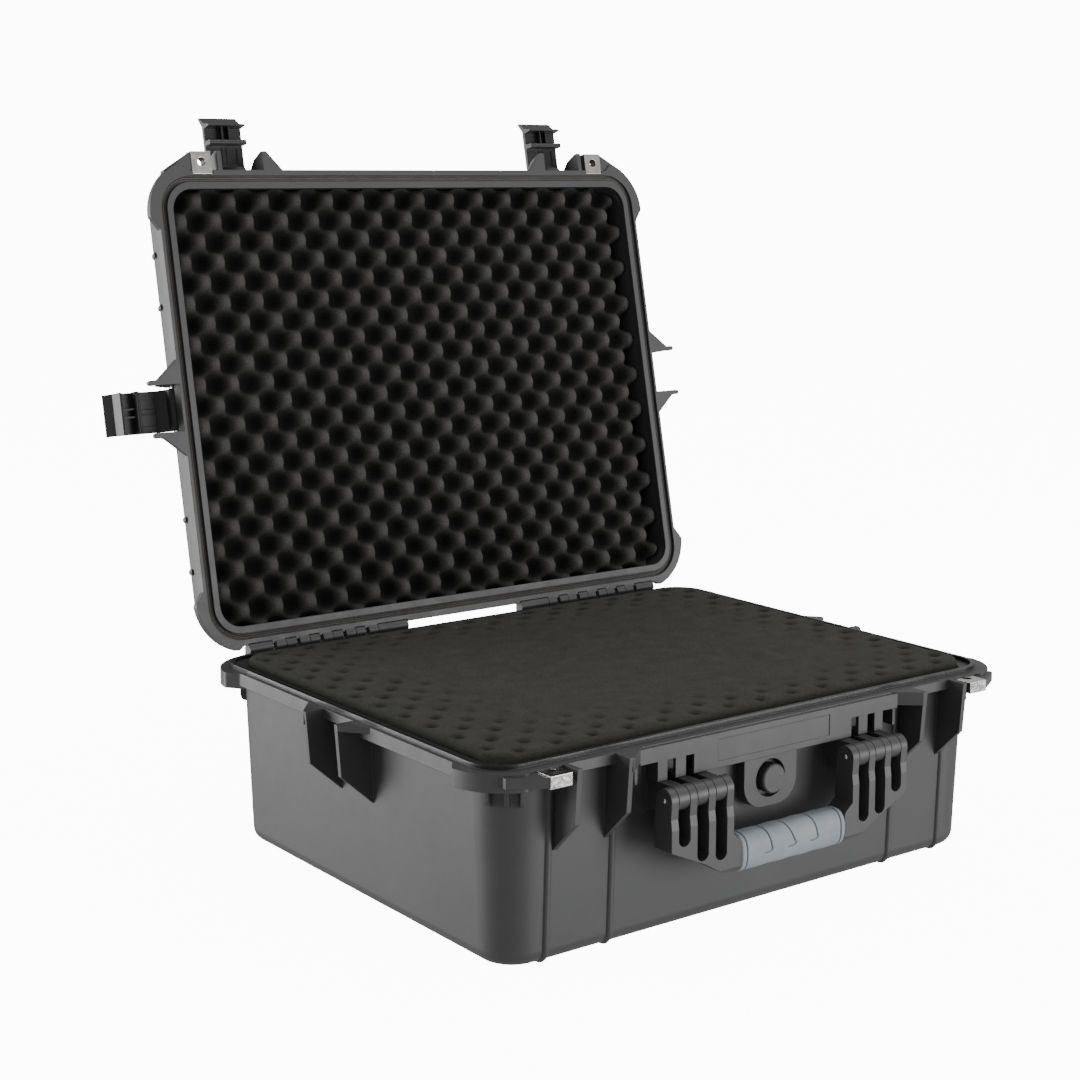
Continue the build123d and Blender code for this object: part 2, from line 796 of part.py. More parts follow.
def lid_ears():
    """Pairs of ears on the lid that carry each latch pin, with gussets in the rim plane."""
    top = lid_rim_z + ear_rise
    pin_y = latch_pivot_in
    half = ear_thickness / 2
    result = None
    for name, place in lid_bays.items():
        front = name.startswith("front")
        reach = ear_reach if front else side_ear_reach
        run = ear_gusset_run if front else side_ear_gusset_run
        root = lid_in_from_rim + lean(ear_rise) + 1.5
        pair = None
        for side in (-1, 1):
            centre = side * ear_spacing / 2
            ear = profile_yz(
                [
                    (root, lid_rim_z),
                    (-reach, lid_rim_z),
                    (-reach, lid_rim_z + 3.5),
                    (-reach + 5, lid_rim_z + ear_rise / 2),
                    (pin_y - 6, top - 6),
                    (pin_y - 2, top),
                    (root, top),
                ],
                centre - half,
                centre + half,
            )
            if not front:
                ear += block(centre - half, centre + half, half - prong_reach, -reach + 5, lid_rim_z, lid_rim_z + prong_height)
                ear += Pos(centre, half - prong_reach, lid_rim_z + prong_height / 2) * Cylinder(half, prong_height)
            gusset = [(centre, 1), (centre, -reach), (centre + side * half, -reach), (centre + side * (half + run), 1)]
            if not front or side * place.position.X < 0:
                ear += profile_xy(gusset, lid_rim_z, lid_rim_z + rim_thickness)
            pair = ear if pair is None else pair + ear
        hole = rod_x(latch_pin_r + fixed_fit, -ear_spacing, ear_spacing, latch_pivot_in, latch_pivot_z)
        placed = place * (pair - hole)
        result = placed if result is None else result + placed
    return result


def lid_beads():
    """Stiffening beads across the lid's top that wrap over its side edges."""
    z = lid_top_z - bead_sunk
    side = lid_side - lean(lid_height) - bead_sunk
    result = None
    for y in (-bead_y_outer, -bead_y_inner, bead_y_inner, bead_y_outer):
        low = lid_top_z - lid_edge_r - 3
        path = FilletPolyline((-side, y, low), (-side, y, z), (side, y, z), (side, y, low), radius=lid_edge_r)
        section = Plane(origin=path @ 0, z_dir=path % 0) * Circle(bead_r)
        bead = sweep(section, path)
        result = bead if result is None else result + bead
    return result


def foam_pleats(angle, z_head, z_back):
    """Zigzag block whose ridges run across the pad, one of the two that cross into foam knobs."""
    step = math.hypot(knob_pitch_x / 2, knob_pitch_y)
    width = knob_pitch_x * knob_pitch_y / step
    reach = math.hypot(rim_side, rim_front) + knob_pitch_x
    count = math.ceil(reach / width)
    points = [(-count * width, z_back)]
    for i in range(-count, count):
        points.append((i * width, z_head + knob_height))
        points.append(((i + 0.5) * width, z_head))
    points.append((count * width, z_head + knob_height))
    points.append((count * width, z_back))
    face = make_face(Polyline(*[(x, -reach, z) for x, z in points], close=True))
    return Pos(knob_shift_x, knob_shift_y, 0) * Rot(0, 0, angle) * extrude(face, 2 * reach, dir=(0, 1, 0))


def lid_foam():
    """Egg-crate foam pad in the lid, closed position, its knobs towards the base."""
    inset = wall + lean(lid_rim_height) + foam_gap
    head = lid_rim_z + lid_foam_recess
    top = lid_top_z - wall - foam_gap
    radius = lid_corner_r - wall - foam_gap
    pad = drafted(lid_side - inset, lid_depth - inset, radius, head, top)
    pad = fillet(pad.edges().group_by(Axis.Z)[-1], lid_edge_r - wall)
    lean_angle = math.degrees(math.atan2(knob_pitch_x / 2, knob_pitch_y))
    return pad & foam_pleats(-lean_angle, head, top + 1) & foam_pleats(lean_angle, head, top + 1)


def lid_seal():
    """Soft ring at the top of the lid's channel, closed position."""
    z_tongue = rim_top + tongue_height + seal_gap
    width = tongue_width + 2 * channel_clearance - 0.1
    return seal_ring(width, z_tongue, lid_rim_z + channel_depth)


def latch():
    """Lever in the closed position, hanging from its pivot at the origin, outer side towards -Y."""
    half = latch_width / 2
    inner = -latch_plate_offset
    outer = inner - latch_plate
    lever = rod_x(latch_eye_r, -half, half, 0, 0)
    lever += profile_yz(
        [
            (0, latch_eye_r),
            (-4.2, latch_eye_r - 1.6),
            (-8.5, 0.5),
            (outer, -13),
            (outer, -latch_plate_end),
            (-latch_tip_out, -latch_tip + 0.8),
            (-latch_tip_out + 0.6, -latch_tip),
            (-latch_tip_out + 2.4, -latch_tip - 0.3),
            (inner - 0.6, -latch_plate_end - 3.0),
            (latch_tab_in, -latch_plate_end - 0.4),
            (latch_tab_in + 0.4, -latch_plate_end + 1.2),
            (inner, -latch_plate_end + 2.4),
            (inner, -13),
            (-2.5, -latch_eye_r + 0.7),
        ],
        -half,
        half,
    )
    nose_z = -latch_nose_at
    t = latch_nose_thickness / 2
    tip = inner + latch_nose_reach - latch_ridge_r
    lever += block(-half, half, inner - 1, tip, nose_z - t, nose_z + t)
    for z in (nose_z - t + latch_ridge_r, nose_z + t - latch_ridge_r):
        lever += rod_x(latch_ridge_r, -half, half, tip, z)
    for x in (-3.5, 3.5):
        lever += block(x - 0.8, x + 0.8, inner - 0.5, inner + 6, -latch_plate_end + 1, nose_z)
    recess = latch_width / 3
    lever -= block(-recess, recess, inner - latch_recess, inner + 1, nose_z + t + 2, -latch_eye_r - 8)
    for x in (-2.2, 2.2):
        lever += block(x - 0.6, x + 0.6, inner - 1, inner, nose_z + t, -latch_eye_r - 8)
    return lever - rod_x(latch_pin_r + running_fit, -half - 1, half + 1, 0, 0)


def latch_place(name):
    """Where a latch pivot sits on the open lid."""
    return lid_open * lid_bays[name] * Pos(0, latch_pivot_in, latch_pivot_z)


def latch_pin():
    """Steel pin through a latch and the two ears."""
    half = ear_spacing / 2 + ear_thickness / 2
    return rod_x(latch_pin_r, -half, half, 0, 0)


def handle_frame():
    """Two finned arms joined by the bar inside the grip, hanging."""
    top = handle_pivot_z + handle_eye_r
    grip_top = grip_z + grip_height / 2
    outline = [
        (arm_inner, top),
        (arm_outer, top),
        (arm_outer, arm_foot_z + arm_outer_rise),
        (arm_inner + arm_middle_at, arm_foot_z + arm_middle_rise),
        (arm_inner + arm_toe_at, arm_foot_z + arm_toe_rise),
        (grip_half, arm_foot_z),
        (grip_half, grip_top - 1),
        (arm_inner, grip_top + 6),
    ]
    front = -handle_pivot_y - arm_front_out
    back = -handle_pivot_y + arm_back_in
    face = make_face(Polyline(*[(x, front - 1, z) for x, z in outline], close=True))
    low = face.vertices().sort_by(Axis.Z)[2:4]
    arm = extrude(fillet(low, arm_edge_r), back - front + 2, dir=(0, 1, 0))
    neck = handle_pivot_z - handle_eye_r - 4
    profile = [
        (-handle_pivot_y - handle_eye_r, handle_pivot_z),
        (front + arm_waist, neck),
        (front, neck - 8),
        (front, arm_foot_z + arm_edge_r),
        (front + arm_edge_r, arm_foot_z - 1),
        (back - arm_edge_r, arm_foot_z - 1),
        (back, arm_foot_z + arm_edge_r),
        (back, neck),
        (-handle_pivot_y + handle_eye_r, handle_pivot_z),
    ]
    side = profile_yz(profile, grip_half - 1, arm_outer)
    side += rod_x(handle_eye_r, grip_half - 1, arm_outer, -handle_pivot_y, handle_pivot_z)
    arm &= side
    slot_floor = (arm_foot_z + arm_middle_rise, arm_foot_z + arm_middle_rise + 3, arm_foot_z + arm_outer_rise + 3)
    for i, floor in enumerate(slot_floor):
        x0 = arm_inner + arm_fin + i * arm_fin_pitch
        x1 = arm_inner + (i + 1) * arm_fin_pitch
        half = (x1 - x0) / 2
        arm -= block(x0, x1, front - 2, back - arm_web, floor + half, top + 1)
        arm -= rod_y(half, front - 2, back - arm_web, x0 + half, floor + half)
        arm -= block(x0, x1, front - 2, -tub_depth, neck, top + 1)
    arm -= rod_x(handle_pin_r + running_fit, arm_inner - 1, arm_outer + 1, -handle_pivot_y, handle_pivot_z)
    bar = Pos(0, -grip_y, grip_z) * Rot(0, 90, 0) * extrude(
        RectangleRounded(grip_bar_height, grip_bar_depth, 5), grip_half + 1, both=True
    )
    return mirrored(arm) + bar


def handle_grip():
    """Soft sleeve on the handle bar with shallow finger waves."""
    stations = (
        (-1.0, 0.96), (-0.8, 1.0), (-0.52, 0.955), (-0.26, 1.0), (0.0, 0.955),
        (0.26, 1.0), (0.52, 0.955), (0.8, 1.0), (1.0, 0.96),
    )
    length = grip_half - grip_fit
    sections = []
    for share, swell in stations:
        oval = RectangleRounded(grip_height * swell, grip_depth * swell, grip_depth * swell / 2 - 1.5)
        sections.append(Pos(share * length, -grip_y, grip_z) * Rot(0, 90, 0) * oval)
    sleeve = loft(sections)
    hole = Pos(0, -grip_y, grip_z) * Rot(0, 90, 0) * extrude(
        RectangleRounded(grip_bar_height + 2 * grip_fit, grip_bar_depth + 2 * grip_fit, 5 + grip_fit),
        grip_half,
        both=True,
    )
    return sleeve - hole


def handle_pin():
    """Steel pin through one arm of the handle, right side."""
    return rod_x(handle_pin_r, arm_inner + 0.3, arm_outer - 0.3, -handle_pivot_y, handle_pivot_z)


def valve_parts():
    """Body, seal, nut and knob of the pressure valve."""
    floor = -valve_pocket_floor
    seal_front = floor - valve_seal_thickness
    head_front = seal_front - valve_head
    inner_wall = -(tub_depth - lean(skirt_bottom - valve_z)) + wall
    stem_end = inner_wall + valve_nut_thickness + 1
    spigot_depth = 8.0
    body = rod_y(valve_head_r, head_front, seal_front, 0, valve_z)
    body += rod_y(valve_stem_r, seal_front, stem_end, 0, valve_z)
    body -= rod_y(valve_spigot_r + running_fit, head_front - 1, head_front + spigot_depth, 0, valve_z)
    seal = rod_y(valve_head_r - 0.5, seal_front, floor, 0, valve_z) - rod_y(valve_stem_r + 0.05, seal_front, floor, 0, valve_z)
    nut_face = Plane(origin=(0, inner_wall + 0.6, valve_z), z_dir=(0, 1, 0))
    nut = extrude(nut_face * RegularPolygon(valve_nut_flats / 2, 6, major_radius=False), valve_nut_thickness)
    nut -= rod_y(valve_stem_r + 0.05, inner_wall, stem_end + 2, 0, valve_z)
    knob_back = head_front - valve_knob_gap
    knob = rod_y(valve_knob_r, knob_back - valve_knob_depth, knob_back, 0, valve_z)
    knob = chamfer(knob.edges().sort_by(Axis.Y)[0], 1.2)
    knob += rod_y(valve_spigot_r, knob_back - 1, head_front + spigot_depth - 0.5, 0, valve_z)
    return {"valve_body": body, "valve_seal": seal, "valve_nut": nut, "valve_knob": knob}


def build():
    """Every node by name."""
    nodes = {"base_shell": base_shell()}
    nodes.update(base_foam())
    nodes.update(valve_parts())
    right = padlock_steel(rim_front, base_tab_z)
    nodes["padlock_plate_base_right"] = right
    nodes["padlock_plate_base_left"] = mirror(right, Plane.YZ)
    pin = rod_x(hinge_pin_r, hinge_pin_start() + 0.3, hinge_pin_end() - 0.3, hinge_y, hinge_z)
    nodes["hinge_pin_right"] = pin
    nodes["hinge_pin_left"] = mirror(pin, Plane.YZ)
    nodes["handle_frame"] = handle_frame()
    nodes["handle_grip"] = handle_grip()
    nodes["handle_pin_right"] = handle_pin()
    nodes["handle_pin_left"] = mirror(handle_pin(), Plane.YZ)
    nodes["lid_shell"] = lid_open * lid_shell()
    nodes["lid_seal"] = lid_open * lid_seal()
    nodes["lid_foam"] = lid_open * lid_foam()
    lid_plate = padlock_steel(lid_rim_front, lid_tab_z, padlock_plate_tuck)
    nodes["padlock_plate_lid_right"] = lid_open * lid_plate
    nodes["padlock_plate_lid_left"] = lid_open * mirror(lid_plate, Plane.YZ)
    for name in lid_bays:
        angle = latch_angle_right if name == "right" else latch_angle
        nodes["latch_" + name] = latch_place(name) * Rot(-angle, 0, 0) * latch()
        nodes["latch_pin_" + name] = latch_place(name) * latch_pin()
    return nodes


for node, solid in build().items():
    export_step(solid, os.path.join("parts", node + ".step"))
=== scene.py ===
import itertools
import json
import math

import bmesh
import bpy
import numpy as np
from mathutils import Matrix, Vector


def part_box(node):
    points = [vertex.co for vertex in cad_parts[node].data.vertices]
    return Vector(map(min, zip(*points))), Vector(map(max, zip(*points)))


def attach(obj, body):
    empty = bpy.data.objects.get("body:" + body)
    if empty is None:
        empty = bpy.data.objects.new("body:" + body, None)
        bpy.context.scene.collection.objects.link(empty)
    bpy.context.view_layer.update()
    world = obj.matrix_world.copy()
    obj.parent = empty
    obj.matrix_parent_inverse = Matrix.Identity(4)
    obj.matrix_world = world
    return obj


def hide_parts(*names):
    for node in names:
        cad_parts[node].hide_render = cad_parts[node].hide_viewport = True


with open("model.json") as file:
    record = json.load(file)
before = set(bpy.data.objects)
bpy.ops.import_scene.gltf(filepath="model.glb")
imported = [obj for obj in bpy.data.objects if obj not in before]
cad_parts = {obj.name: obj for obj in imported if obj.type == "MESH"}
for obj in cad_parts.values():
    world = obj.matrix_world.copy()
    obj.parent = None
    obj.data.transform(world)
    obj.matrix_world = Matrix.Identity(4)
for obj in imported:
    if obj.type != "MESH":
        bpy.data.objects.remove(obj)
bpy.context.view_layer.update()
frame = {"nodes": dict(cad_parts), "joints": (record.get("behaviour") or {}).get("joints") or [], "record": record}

nodes = frame["nodes"]


def placed(name, data):
    """New object with this data, in the scene's collection."""
    obj = bpy.data.objects.new(name, data)
    bpy.context.collection.objects.link(obj)
    return obj


def worked_mesh(name, work):
    """Mesh from a bmesh, which is then freed."""
    mesh = bpy.data.meshes.new(name)
    work.to_mesh(mesh)
    work.free()
    return mesh


# ------------------------------------------------------------------ camera
CAMERA_AT = (-1.0695, -1.3586, 0.5900)
AZIMUTH, ELEVATION, ROLL = map(math.radians, (-37.97, 7.84, 0.32))
LENS, SENSOR_WIDTH = 67.96, 36.0
SHIFT_X, SHIFT_Y = -0.0525, -0.0915
CLIP_START = 0.05


def make_camera():
    """The camera that was solved from the photo's straight edges."""
    camera = placed("camera", bpy.data.cameras.new("camera"))
    back = Vector((
        math.sin(AZIMUTH) * math.cos(ELEVATION),
        -math.cos(AZIMUTH) * math.cos(ELEVATION),
        math.sin(ELEVATION),
    ))
    right = Vector((0, 0, 1)).cross(back).normalized()
    up = back.cross(right)
    rolled_right = math.cos(ROLL) * right + math.sin(ROLL) * up
    rolled_up = math.cos(ROLL) * up - math.sin(ROLL) * right
    turn = Matrix((rolled_right, rolled_up, back)).transposed()
    camera.matrix_world = Matrix.Translation(CAMERA_AT) @ turn.to_4x4()
    camera.data.sensor_width = SENSOR_WIDTH
    camera.data.lens = LENS
    camera.data.shift_x = SHIFT_X
    camera.data.shift_y = SHIFT_Y
    camera.data.clip_start = CLIP_START
    bpy.context.scene.camera = camera


# ------------------------------------------------------------------ stage
FLOOR_RADIUS, FLOOR_SIDES, FLOOR_Z = 7.0, 96, -0.0004
DOME_RADIUS = 9.0
FLOOR_GLOW, DOME_GLOW, WORLD_GLOW = 11.5, 12.0, 0.6
# name, place, target, size and watts of each lamp
LIGHTS = (
    ("left", (-2.3, 2.0, 0.35), (0, 0, 0.12), (2.0, 1.9), 125),
    ("front_right", (1.35, -2.7, 0.22), (0, 0, 0.08), (2.0, 1.5), 96),
    ("top", (1.1, -0.2, 2.1), (0.1, 0, 0.15), (1.8, 1.8), 15),
)


def glow_material(name, color, roughness, glow):
    """Plain material that also shines by itself."""
    mat = bpy.data.materials.new(name)
    mat.use_nodes = True
    shader = mat.node_tree.nodes["Principled BSDF"]
    shader.inputs["Base Color"].default_value = (*color, 1)
    shader.inputs["Roughness"].default_value = roughness
    shader.inputs["Emission Color"].default_value = (1, 1, 1, 1)
    shader.inputs["Emission Strength"].default_value = glow
    return mat


def backdrop(name, mesh, material):
    """Object that is bright to the camera and gives the case no light."""
    mesh.materials.append(material)
    obj = placed(name, mesh)
    obj.visible_diffuse = False
    obj.visible_glossy = False
    obj.visible_transmission = False
    obj.visible_shadow = False
    return obj


def make_stage():
    """Pale floor inside a bright dome that meets it without a line."""
    mesh = bpy.data.meshes.new("floor")
    angles = [2 * math.pi * k / FLOOR_SIDES for k in range(FLOOR_SIDES)]
    ring = [(FLOOR_RADIUS * math.cos(a), FLOOR_RADIUS * math.sin(a), 0) for a in angles]
    mesh.from_pydata(ring, [], [tuple(range(FLOOR_SIDES))])
    floor = backdrop("floor", mesh, glow_material("floor_white", (0.9, 0.9, 0.9), 0.9, FLOOR_GLOW))
    floor.location.z = FLOOR_Z
    work = bmesh.new()
    bmesh.ops.create_icosphere(work, subdivisions=4, radius=DOME_RADIUS)
    bmesh.ops.reverse_faces(work, faces=work.faces)
    mesh = worked_mesh("dome", work)
    dome = backdrop("dome", mesh, glow_material("dome_white", (0, 0, 0), 1.0, DOME_GLOW))


def make_lights():
    """Even light from all round and three large lamps."""
    world = bpy.context.scene.world or bpy.data.worlds.new("studio")
    bpy.context.scene.world = world
    world.use_nodes = True
    background = world.node_tree.nodes["Background"]
    background.inputs["Color"].default_value = (1, 1, 1, 1)
    background.inputs["Strength"].default_value = WORLD_GLOW
    for name, at, target, size, watts in LIGHTS:
        data = bpy.data.lights.new(name, "AREA")
        data.shape = "RECTANGLE"
        data.size, data.size_y = size
        data.energy = watts
        lamp = placed(name, data)
        lamp.location = at
        lamp.rotation_euler = (Vector(target) - Vector(at)).to_track_quat("-Z", "Y").to_euler()


# ------------------------------------------------------------------ places taken from the frame and the CAD
hinge = next(j for j in frame["joints"] if j["name"] == "lid_hinge")
HINGE_AT = Vector(hinge["pos_m"])
OPEN_ANGLE = math.radians(hinge["range_deg"][1])
to_hinge = Matrix.Translation(HINGE_AT)
open_turn = to_hinge @ Matrix.Rotation(-OPEN_ANGLE, 4, "X") @ Matrix.Translation(-HINGE_AT)
close_turn = open_turn.inverted()

# Line along the middle of the seal, with the lid closed
SEAL_HALF_X, SEAL_HALF_Y, SEAL_CORNER = 0.262, 0.204, 0.028
# The lid's rim faces end this far out from that line, and below this height
RIM_WIDTH, RIM_CEILING = 0.0081, 0.1585
# The base's tongue starts above this height, in front of the hinge
TONGUE_Z, TONGUE_REAR_Y = 0.1562, 0.2082


# ------------------------------------------------------------------ materials
def grey(value):
    return (value, value, value)


class Nodes:
    """Shorthand for building one procedural material."""

    def __init__(self, name):
        self.mat = bpy.data.materials.new(name)
        self.mat.use_nodes = True
        self.tree = self.mat.node_tree
        self.shader = self.tree.nodes["Principled BSDF"]
        self.coords = self.add("ShaderNodeTexCoord").outputs["Object"]

    def add(self, kind, **values):
        node = self.tree.nodes.new(kind)
        for key, value in values.items():
            setattr(node, key, value)
        return node

    def wire(self, value, socket):
        """Links an output to the socket, or sets a plain value on it."""
        if hasattr(value, "is_linked"):
            self.tree.links.new(value, socket)
        else:
            socket.default_value = value

    def set(self, **values):
        """Shader inputs by name, with _ for each space."""
        for key, value in values.items():
            self.wire(value, self.shader.inputs[key.replace("_", " ")])

    def noise(self, scale, detail=2.0, roughness=0.5, distortion=0.0):
        node = self.add("ShaderNodeTexNoise")
        node.inputs["Scale"].default_value = scale
        node.inputs["Detail"].default_value = detail
        node.inputs["Roughness"].default_value = roughness
        node.inputs["Distortion"].default_value = distortion
        self.wire(self.coords, node.inputs["Vector"])
        return node.outputs["Fac"]

    def voronoi(self, scale):
        node = self.add("ShaderNodeTexVoronoi")
        node.inputs["Scale"].default_value = scale
        self.wire(self.coords, node.inputs["Vector"])
        return node.outputs["Distance"]

    def painted_shade_share(self):
        """The mesh's own height share per point, which the materials turn into painted shade."""
        return self.add("ShaderNodeAttribute", attribute_name="height").outputs["Fac"]

    def ramp(self, source, stops):
        node = self.add("ShaderNodeValToRGB")
        ramp = node.color_ramp
        while len(ramp.elements) < len(stops):
            ramp.elements.new(0.5)
        for element, (position, color) in zip(ramp.elements, stops):
            element.position = position
            element.color = (*color, 1)
        self.wire(source, node.inputs["Fac"])
        return node.outputs["Color"]

    def remap(self, source, low, high, start, end):
        """The source's span from start to end, stretched to low and high."""
        node = self.add("ShaderNodeMapRange")
        node.inputs["From Min"].default_value = start
        node.inputs["From Max"].default_value = end
        node.inputs["To Min"].default_value = low
        node.inputs["To Max"].default_value = high
        self.wire(source, node.inputs["Value"])
        return node.outputs["Result"]

    def calculate(self, operation, *values):
        node = self.add("ShaderNodeMath", operation=operation)
        for value, socket in zip(values, node.inputs):
            self.wire(value, socket)
        return node.outputs["Value"]

    def mix(self, kind, share, first, second):
        node = self.add("ShaderNodeMix", **kind)
        self.wire(share, node.inputs["Factor"])
        self.wire(first, node.inputs["A"])
        self.wire(second, node.inputs["B"])
        return node.outputs["Result"]

    def multiply(self, color, factor, share=1.0):
        """The colour darkened or lightened by a factor, where the share is 1."""
        return self.mix({"data_type": "RGBA", "blend_type": "MULTIPLY"}, share, color, factor)

    def separate(self, vector):
        node = self.add("ShaderNodeSeparateXYZ")
        self.wire(vector, node.inputs["Vector"])
        return node.outputs["X"], node.outputs["Y"], node.outputs["Z"]

    def seal_lines(self, pitch, rim_only=False):
        """Fine lines along the seal, 0 in a line's bottom and 1 on its crest. rim_only: 1 off the rim."""
        mapped = self.add("ShaderNodeMapping")
        mapped.inputs["Location"].default_value = close_turn.translation
        mapped.inputs["Rotation"].default_value = close_turn.to_euler()
        self.wire(self.coords, mapped.inputs["Vector"])
        x, y, z = self.separate(mapped.outputs["Vector"])
        calc = self.calculate
        past_x = calc("SUBTRACT", calc("ABSOLUTE", x), SEAL_HALF_X - SEAL_CORNER)
        past_y = calc("SUBTRACT", calc("ABSOLUTE", y), SEAL_HALF_Y - SEAL_CORNER)
        far_x, far_y = calc("MAXIMUM", past_x, 0.0), calc("MAXIMUM", past_y, 0.0)
        squares = calc("ADD", calc("MULTIPLY", far_x, far_x), calc("MULTIPLY", far_y, far_y))
        inner = calc("MINIMUM", calc("MAXIMUM", past_x, past_y), 0.0)
        distance = calc("ADD", calc("SQRT", squares), inner)
        phase = calc("MULTIPLY", distance, 2 * math.pi / pitch)
        lines = calc("MULTIPLY_ADD", calc("SINE", phase), 0.5, 0.5)
        if not rim_only:
            return lines
        above = calc("GREATER_THAN", z, RIM_CEILING)
        outside = calc("GREATER_THAN", distance, RIM_WIDTH)
        return calc("MAXIMUM", lines, calc("MAXIMUM", above, outside))

    def rounded_edges(self, radius):
        """Normal that softens the sharp edges of the moulding."""
        node = self.add("ShaderNodeBevel", samples=6)
        node.inputs["Radius"].default_value = radius
        return node.outputs["Normal"]

    def bump(self, source, strength, distance, below=None):
        node = self.add("ShaderNodeBump")
        node.inputs["Strength"].default_value = strength
        node.inputs["Distance"].default_value = distance
        self.wire(source, node.inputs["Height"])
        if below is not None:
            self.wire(below, node.inputs["Normal"])
        return node.outputs["Normal"]


TONGUE_SHADE, TONGUE_ROUGHNESS = (0.24, 0.24, 0.24, 1), 0.36
# Fine lines on the lid's rim and the seal: painted shade in each line's bottom, and on the seal a faint painted
# highlight on its crest.
RIM_LINE_PITCH = 0.0036
RIM_LINE_SHADE = [(0.0, grey(0.32)), (0.45, grey(0.80)), (0.95, grey(1.0))]
SEAL_LINE_PITCH = 0.0018
SEAL_LINE_SHADE = [(0.1, grey(0.22)), (0.7, grey(1.15))]
# Painted shade in the grip's grooves, by each point's groove share.
GROOVE_SHADE = [(0.0, (0.30, 0.31, 0.33)), (0.8, grey(1.0))]


def moulded_plastic(
    name, dark, light, rough=(0.42, 0.56), grain=0.18, specular=0.5, edge=0.0007,
    tongue=False, rim=False,
):
    """Injection moulded plastic with fine matt grain, faint flow marks and handling marks.

    tongue makes the bead on the base's rim darker and smoother, rim draws fine lines of painted shade on the lid's
    rim.
    """
    n = Nodes(name)
    flow = n.noise(9.0, 4.0, 0.55, 0.6)
    color = n.ramp(flow, [(0.30, dark), (0.72, light)])
    marks = n.noise(46.0, 5.0, 0.62)
    roughness = n.remap(marks, *rough, 0.3, 0.7)
    if tongue:
        _, y, z = n.separate(n.coords)
        above = n.remap(z, 0.0, 1.0, TONGUE_Z - 0.0002, TONGUE_Z + 0.0004)
        before = n.remap(y, 1.0, 0.0, TONGUE_REAR_Y - 0.0002, TONGUE_REAR_Y + 0.0002)
        there = n.calculate("MULTIPLY", above, before)
        color = n.multiply(color, TONGUE_SHADE, there)
        roughness = n.mix({"data_type": "FLOAT"}, there, roughness, TONGUE_ROUGHNESS)
    if rim:
        lines = n.seal_lines(RIM_LINE_PITCH, rim_only=True)
        color = n.multiply(color, n.ramp(lines, RIM_LINE_SHADE))
    fine, coarse = n.noise(2600.0, 1.0), n.noise(420.0, 2.0)
    grained = n.bump(fine, grain, 0.00012, n.rounded_edges(edge))
    n.set(
        Base_Color=color,
        Roughness=roughness,
        Specular_IOR_Level=specular,
        Normal=n.bump(coarse, grain * 0.5, 0.0002, grained),
    )
    return n.mat


def foam_material(name, dark, light, shade):
    """Open-cell foam: fine pores, soft colour change, and painted shade from each point's share, darkest in pits
    and dents.
    """
    n = Nodes(name)
    pores = n.voronoi(1400.0)
    color = n.ramp(pores, [(0.05, dark), (0.6, light)])
    soft = n.ramp(n.noise(60.0, 4.0, 0.6), [(0.3, grey(0.80)), (0.7, grey(1.0))])
    flecks = n.ramp(n.noise(900.0, 1.0), [(0.66, grey(1.0)), (0.76, (1.7, 1.65, 1.55))])
    for factor in (soft, flecks, n.ramp(n.painted_shade_share(), shade)):
        color = n.multiply(color, factor)
    first = n.bump(pores, 0.6, 0.0006)
    n.set(
        Base_Color=color,
        Roughness=0.95,
        Specular_IOR_Level=0.1,
        Normal=n.bump(n.noise(260.0, 3.0), 0.35, 0.0006, first),
    )
    return n.mat


def rubber_material(name, dark, light, rough=(0.55, 0.72), grooved=False, lined=False):
    """Matt rubber, with painted shade in its modelled grooves, or fine lines along the seal with painted shade in
    their bottoms and a faint painted highlight on their crests.
    """
    n = Nodes(name)
    color = n.ramp(n.noise(40.0, 4.0), [(0.3, dark), (0.7, light)])
    normal = n.bump(n.noise(1800.0, 2.0), 0.12, 0.0001)
    if grooved:
        color = n.multiply(color, n.ramp(n.painted_shade_share(), GROOVE_SHADE))
    if lined:
        lines = n.seal_lines(SEAL_LINE_PITCH)
        color = n.multiply(color, n.ramp(lines, SEAL_LINE_SHADE))
        normal = n.bump(lines, 0.8, 0.0004, normal)
    roughness = n.remap(n.noise(120.0, 3.0), *rough, 0.3, 0.7)
    n.set(Base_Color=color, Roughness=roughness, Specular_IOR_Level=0.4, Normal=normal)
    return n.mat


def steel_material(name, color, rough):
    """Bright, slightly uneven plated steel."""
    n = Nodes(name)
    dark = tuple(c * 0.86 for c in color)
    n.set(
        Base_Color=n.ramp(n.noise(90.0, 3.0), [(0.3, dark), (0.7, color)]),
        Metallic=1.0,
        Roughness=n.remap(n.noise(300.0, 4.0), *rough, 0.3, 0.7),
        Normal=n.bump(n.noise(260.0, 3.0), 0.25, 0.0005, n.rounded_edges(0.0007)),
    )
    return n.mat


SHELL_DARK, SHELL_LIGHT = (0.030, 0.0303, 0.0303), (0.038, 0.0383, 0.0383)
SHELL_ROUGH = (0.44, 0.54)
shell = moulded_plastic("shell_plastic", SHELL_DARK, SHELL_LIGHT, SHELL_ROUGH)
base_shell = moulded_plastic("base_shell_plastic", SHELL_DARK, SHELL_LIGHT, SHELL_ROUGH, tongue=True)
lid_shell = moulded_plastic("lid_shell_plastic", SHELL_DARK, SHELL_LIGHT, SHELL_ROUGH, rim=True)
latch_plastic = moulded_plastic(
    "latch_plastic", (0.014, 0.0143, 0.0145), (0.022, 0.0224, 0.0226),
    rough=(0.28, 0.40), grain=0.10, specular=0.30, edge=0.0006,
)
valve_plastic = moulded_plastic("valve_plastic", (0.028, 0.028, 0.030), (0.036, 0.036, 0.038))
